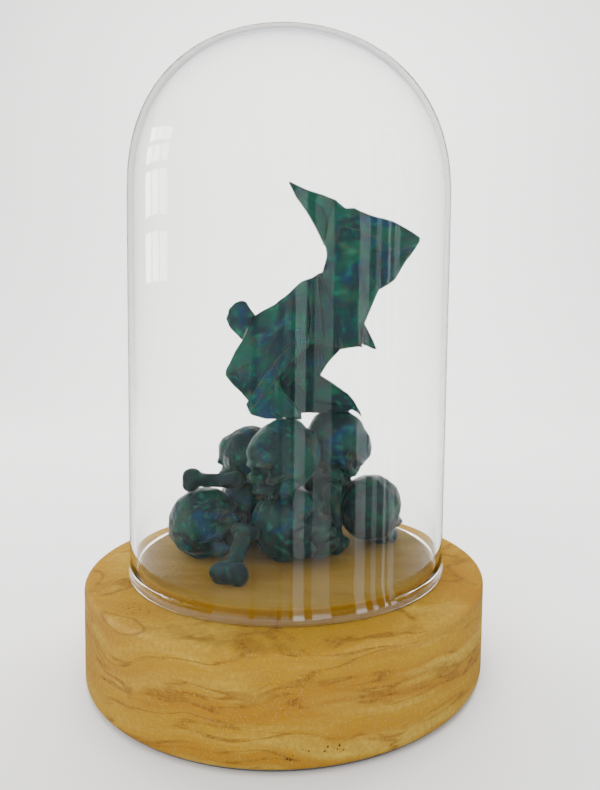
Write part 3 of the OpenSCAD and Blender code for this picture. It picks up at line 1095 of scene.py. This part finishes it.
def bumps(tree, shader, layers):
    """Stacks bumps, each (height, strength, distance in millimetres), onto the shader."""
    normal = None
    for height, strength, distance in layers:
        bump = tree.nodes.new("ShaderNodeBump")
        bump.inputs["Strength"].default_value = strength
        bump.inputs["Distance"].default_value = distance * MM
        tree.links.new(height, bump.inputs["Height"])
        if normal is not None:
            tree.links.new(normal, bump.inputs["Normal"])
        normal = bump.outputs["Normal"]
    tree.links.new(normal, shader.inputs["Normal"])


print("finishes ready")

# %% [markdown]
# A patina is painted on hot bronze in many thin coats, so no two places have one colour: deep
# teal lies under emerald and blue patches, and brown metal shows through on worn edges. The
# hollows are darkened nearly to black as painted shade. Noises at several sizes mask those
# coats, and Pointiness finds the edges and the hollows. The wax rubbed over it is a gloss that
# changes from place to place.

# %% Patinated bronze
# painted shade: the nearly black colour laid into the hollows, and how strongly it covers them
PAINTED_SHADE_COLOUR = (0.004, 0.01, 0.01)
WORN_SHARE, PAINTED_SHADE_SHARE, CHALK_SHARE = 0.75, 0.8, 0.55
GLOSS_SPREAD = 0.25


def patina(name, deep, green, blue, brown, gloss, brown_share=0.6):
    """Bronze with a hot-painted patina of four colours, under wax, and painted shade in the hollows."""
    material, tree, shader = new_material(name)
    where = coordinates(tree)
    geometry = tree.nodes.new("ShaderNodeNewGeometry")
    point = geometry.outputs["Pointiness"]
    colour = colour_mix(tree, noise_mask(tree, where, 55, 0.45, 0.6, 6, 0.8), deep, green)
    colour = colour_mix(tree, noise_mask(tree, where, 38, 0.54, 0.66, 5, 1.5), colour, blue)
    light = tuple(value * 3.2 + 0.012 for value in green)
    chalk = times(tree, noise_mask(tree, where, 240, 0.54, 0.7, 9, 0.4), CHALK_SHARE)
    colour = colour_mix(tree, chalk, colour, light)
    rust = noise_mask(tree, where, 75, 0.56, 0.66, 8, 0.6)
    speckle = noise_mask(tree, where, 600, 0.42, 0.62, 3)
    colour = colour_mix(tree, times(tree, times(tree, rust, speckle), brown_share), colour, brown)
    edges = between(tree, point, 0.515, 0.56)
    worn = times(tree, edges, noise_mask(tree, where, 120, 0.4, 0.6, 4))
    bare = tuple(1.6 * value for value in brown)
    colour = colour_mix(tree, times(tree, worn, WORN_SHARE), colour, bare)
    # Painted shade: the hollows that Pointiness finds are darkened nearly to black.
    painted_shade = between(tree, point, 0.49, 0.43)
    colour = colour_mix(tree, times(tree, painted_shade, PAINTED_SHADE_SHARE), colour, PAINTED_SHADE_COLOUR)
    tree.links.new(colour, shader.inputs["Base Color"])
    shader.inputs["Specular IOR Level"].default_value = 0.14
    rough = noise_mask(tree, where, 150, 0.3, 0.7, 5)
    roughness = between(tree, rough, 0, 1, gloss, gloss + GLOSS_SPREAD)
    tree.links.new(roughness, shader.inputs["Roughness"])
    grain = noise_mask(tree, where, 900, 0, 1, 6)
    lumps = noise_mask(tree, where, 160, 0, 1, 5, 0.5)
    bumps(tree, shader, [(lumps, 0.5, 1.2), (grain, 0.35, 0.35)])
    return material


# %% Three patinas
rabbit_bronze = patina(
    "rabbit patina", (0.0, 0.016, 0.021), (0.0, 0.058, 0.034), (0.0, 0.026, 0.062),
    (0.05, 0.042, 0.014), 0.3,
)
skull_bronze = patina(
    "skull patina", (0.0, 0.010, 0.013), (0.0, 0.042, 0.026), (0.0, 0.026, 0.060),
    (0.045, 0.032, 0.012), 0.26, 0.8,
)
bone_bronze = patina(
    "bone patina", (0.0, 0.008, 0.009), (0.0, 0.026, 0.018), (0.0, 0.014, 0.028),
    (0.04, 0.026, 0.011), 0.34, 0.7,
)
BRONZES = {"rabbit_": rabbit_bronze, "skull_": skull_bronze, "bone_": bone_bronze}
for piece in bpy.data.objects:
    for start, material in BRONZES.items():
        if piece.name.startswith(start) and piece.name.endswith("_cast"):
            dress(piece, material)

# %% [markdown]
# Sandstone is laid down in beds, so its colour changes along one direction and the turned
# surface cuts through that. Noise that is stretched flat and then bent by a slower noise gives
# the wavy beds, thin iron-stained lines run along them, and small dark pits sit in clusters.

# %% Bent beds


def bent_beds(tree, flat):
    """Coordinates that are squeezed flat into beds and bent by a slow noise."""
    bend = tree.nodes.new("ShaderNodeTexNoise")
    bend.inputs["Scale"].default_value = 7.0
    bend.inputs["Detail"].default_value = 2.5
    tree.links.new(flat, bend.inputs["Vector"])
    shift = tree.nodes.new("ShaderNodeVectorMath")
    shift.operation = "MULTIPLY_ADD"
    tree.links.new(bend.outputs["Color"], shift.inputs[0])
    shift.inputs[1].default_value = (0.03, 0.03, 0.085)
    tree.links.new(flat, shift.inputs[2])
    bedding = tree.nodes.new("ShaderNodeMapping")
    bedding.inputs["Scale"].default_value = (5, 5, 42)
    bedding.inputs["Rotation"].default_value = (math.radians(4), math.radians(-3), 0)
    tree.links.new(shift.outputs["Vector"], bedding.inputs["Vector"])
    return bedding.outputs["Vector"]


def bed_colours(tree, flat, beds):
    """Three yellows in beds, a stain, and broken thin lines of iron."""
    ochre, tan, pale = (0.30, 0.135, 0.0), (0.36, 0.205, 0.003), (0.45, 0.315, 0.04)
    colour = colour_mix(tree, noise_mask(tree, beds, 0.9, 0.4, 0.6, 6), ochre, tan)
    colour = colour_mix(tree, noise_mask(tree, beds, 1.7, 0.5, 0.68, 5), colour, pale)
    stain = noise_mask(tree, beds, 1.2, 0.52, 0.64, 8, 0.6)
    rust, iron = (0.26, 0.095, 0.001), (0.15, 0.055, 0.002)
    colour = colour_mix(tree, times(tree, stain, 0.55), colour, rust)
    line = noise_mask(tree, beds, 1.35, 0.0, 1.0, 5)
    thin = times(tree, between(tree, line, 0.478, 0.5), between(tree, line, 0.522, 0.5))
    broken = noise_mask(tree, flat, 34, 0.38, 0.5, 5)
    return colour_mix(tree, times(tree, times(tree, thin, broken), 0.95), colour, iron)


print("beds ready")

# %% [markdown]
# The top of the table is darker and streaked, and its side is a warm brown. Both are found by their
# height. Grain of two sizes and clusters of pits come last, and the same masks drive the bumps.

# %% Sandstone


def sandstone():
    """Banded yellow sandstone, honed."""
    material, tree, shader = new_material("banded sandstone")
    flat = coordinates(tree)
    colour = bed_colours(tree, flat, bent_beds(tree, flat))
    height = tree.nodes.new("ShaderNodeSeparateXYZ")
    tree.links.new(flat, height.inputs["Vector"])
    top = between(tree, height.outputs["Z"], TABLE_Z - 0.6 * MM, TABLE_Z - 0.2 * MM)
    streaks = noise_mask(tree, coordinates(tree, (6, 26, 6), (0, 0, 18)), 2.0, 0.4, 0.66, 7)
    table = colour_mix(tree, streaks, (0.29, 0.18, 0.035), (0.17, 0.085, 0.004))
    colour = colour_mix(tree, times(tree, top, 0.75), colour, table)
    side = times(
        tree, between(tree, height.outputs["Z"], LEDGE_Z + 0.4 * MM, LEDGE_Z + 1.2 * MM),
        between(tree, height.outputs["Z"], TABLE_Z - 0.4 * MM, TABLE_Z - 1.2 * MM),
    )
    colour = colour_mix(tree, times(tree, side, 0.6), colour, (0.27, 0.105, 0.0))
    grain = noise_mask(tree, flat, 420, 0.38, 0.62, 5)
    colour = colour_mix(tree, times(tree, grain, 0.6), colour, (0.27, 0.15, 0.02))
    light_grain = noise_mask(tree, coordinates(tree, (1, 1, 1), (30, 0, 50)), 1100, 0.55, 0.75, 2)
    colour = colour_mix(tree, times(tree, light_grain, 0.4), colour, (0.5, 0.34, 0.08))
    pits = tree.nodes.new("ShaderNodeTexVoronoi")
    pits.inputs["Scale"].default_value = 330
    tree.links.new(flat, pits.inputs["Vector"])
    near_pit = between(tree, pits.outputs["Distance"], 0.22, 0.14)
    cluster = noise_mask(tree, coordinates(tree, (14, 14, 34)), 1.6, 0.66, 0.68, 2)
    holes = times(tree, near_pit, cluster)
    colour = colour_mix(tree, holes, colour, (0.025, 0.014, 0.006))
    tree.links.new(colour, shader.inputs["Base Color"])
    tree.links.new(between(tree, grain, 0, 1, 0.62, 0.85), shader.inputs["Roughness"])
    shader.inputs["Specular IOR Level"].default_value = 0.15
    depth = times(tree, holes, -1.0)
    bumps(tree, shader, [(grain, 0.35, 0.3), (depth, 0.8, 0.8)])
    return material


dress(stone, sandstone())
print("stone dressed")

# %% [markdown]
# The felt and the fixings keep the CAD shapes, which are plain and mostly hidden. Only their finish
# is new: short fibres with a faint sheen, and zinc with fine turning marks.

# %% Felt and steel


def felt():
    """Pressed wool: short fibres that point every way."""
    material, tree, shader = new_material("pressed felt")
    where = coordinates(tree)
    fibre = noise_mask(tree, coordinates(tree, (1, 1, 3)), 1400, 0.3, 0.7, 6, 2.0)
    patch = noise_mask(tree, where, 60, 0.35, 0.65, 4)
    colour = colour_mix(tree, patch, (0.012, 0.014, 0.013), (0.03, 0.033, 0.03))
    colour = colour_mix(tree, times(tree, fibre, 0.5), colour, (0.07, 0.075, 0.07))
    tree.links.new(colour, shader.inputs["Base Color"])
    shader.inputs["Roughness"].default_value = 0.95
    shader.inputs["Sheen Weight"].default_value = 0.4
    bumps(tree, shader, [(fibre, 0.8, 0.5)])
    return material


def plain_steel():
    """Zinc-plated steel with fine turning marks and dull spots."""
    material, tree, shader = new_material("plated steel")
    where = coordinates(tree)
    rings = noise_mask(tree, coordinates(tree, (1, 1, 30)), 90, 0.3, 0.7, 3)
    spots = noise_mask(tree, where, 260, 0.45, 0.65, 5)
    colour = colour_mix(tree, spots, (0.55, 0.56, 0.57), (0.36, 0.36, 0.35))
    tree.links.new(colour, shader.inputs["Base Color"])
    shader.inputs["Metallic"].default_value = 1.0
    tree.links.new(between(tree, spots, 0, 1, 0.28, 0.5), shader.inputs["Roughness"])
    bumps(tree, shader, [(rings, 0.4, 0.15)])
    return material


felt_material, steel_material = felt(), plain_steel()
for name, node in frame["nodes"].items():
    if name == "base_felt":
        dress(node, felt_material)
    elif name.startswith(("fixing_", "rabbit_pin")):
        dress(node, steel_material)
print("felt and steel set")
